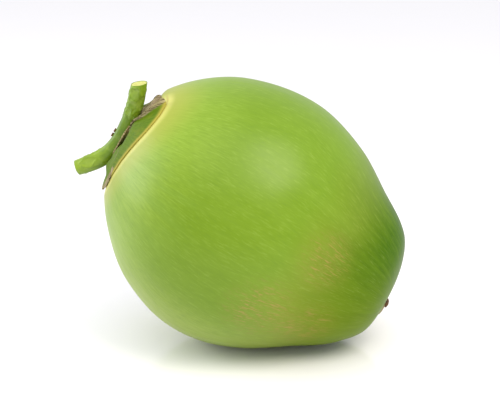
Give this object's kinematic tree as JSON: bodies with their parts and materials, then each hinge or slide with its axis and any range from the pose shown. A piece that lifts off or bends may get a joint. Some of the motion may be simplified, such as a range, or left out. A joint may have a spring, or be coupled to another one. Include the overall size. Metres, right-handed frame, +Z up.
{
  "type": "green coconut",
  "caption": "Whole green coconut lying on its side, with its leathery calyx and a cut length of the branch that it grew on at the stem end.",
  "frame": {"origin": "on the floor, at the flat spot that the husk rests on, straight below the middle of the fruit's length", "axes": "+Z up, +X towards the blossom end, +Y across; the fruit's long axis lies in the XZ plane and tips down 30 degrees towards +X"},
  "size_m": [0.2142, 0.1706, 0.1717],
  "materials": {
    "husk": "smooth waxy skin, satin",
    "sepal": "leathery, with dry brown edges",
    "petal": "leathery, dry and grey-brown at the tip",
    "rachilla": "fresh green bark with pale cut ends",
    "dry_scale": "dry and matt",
    "stigma": "dry and matt"
  },
  "bodies": {
    "root": {"husk": "husk", "sepal_1": "sepal", "sepal_2": "sepal", "sepal_3": "sepal", "petal_1": "petal", "petal_2": "petal", "petal_3": "petal", "rachilla": "rachilla", "bracteole_1": "dry_scale", "bracteole_2": "dry_scale", "bract_scale_1": "dry_scale", "bract_scale_2": "dry_scale", "dried_stigma": "stigma"}
  },
  "joints": []
}
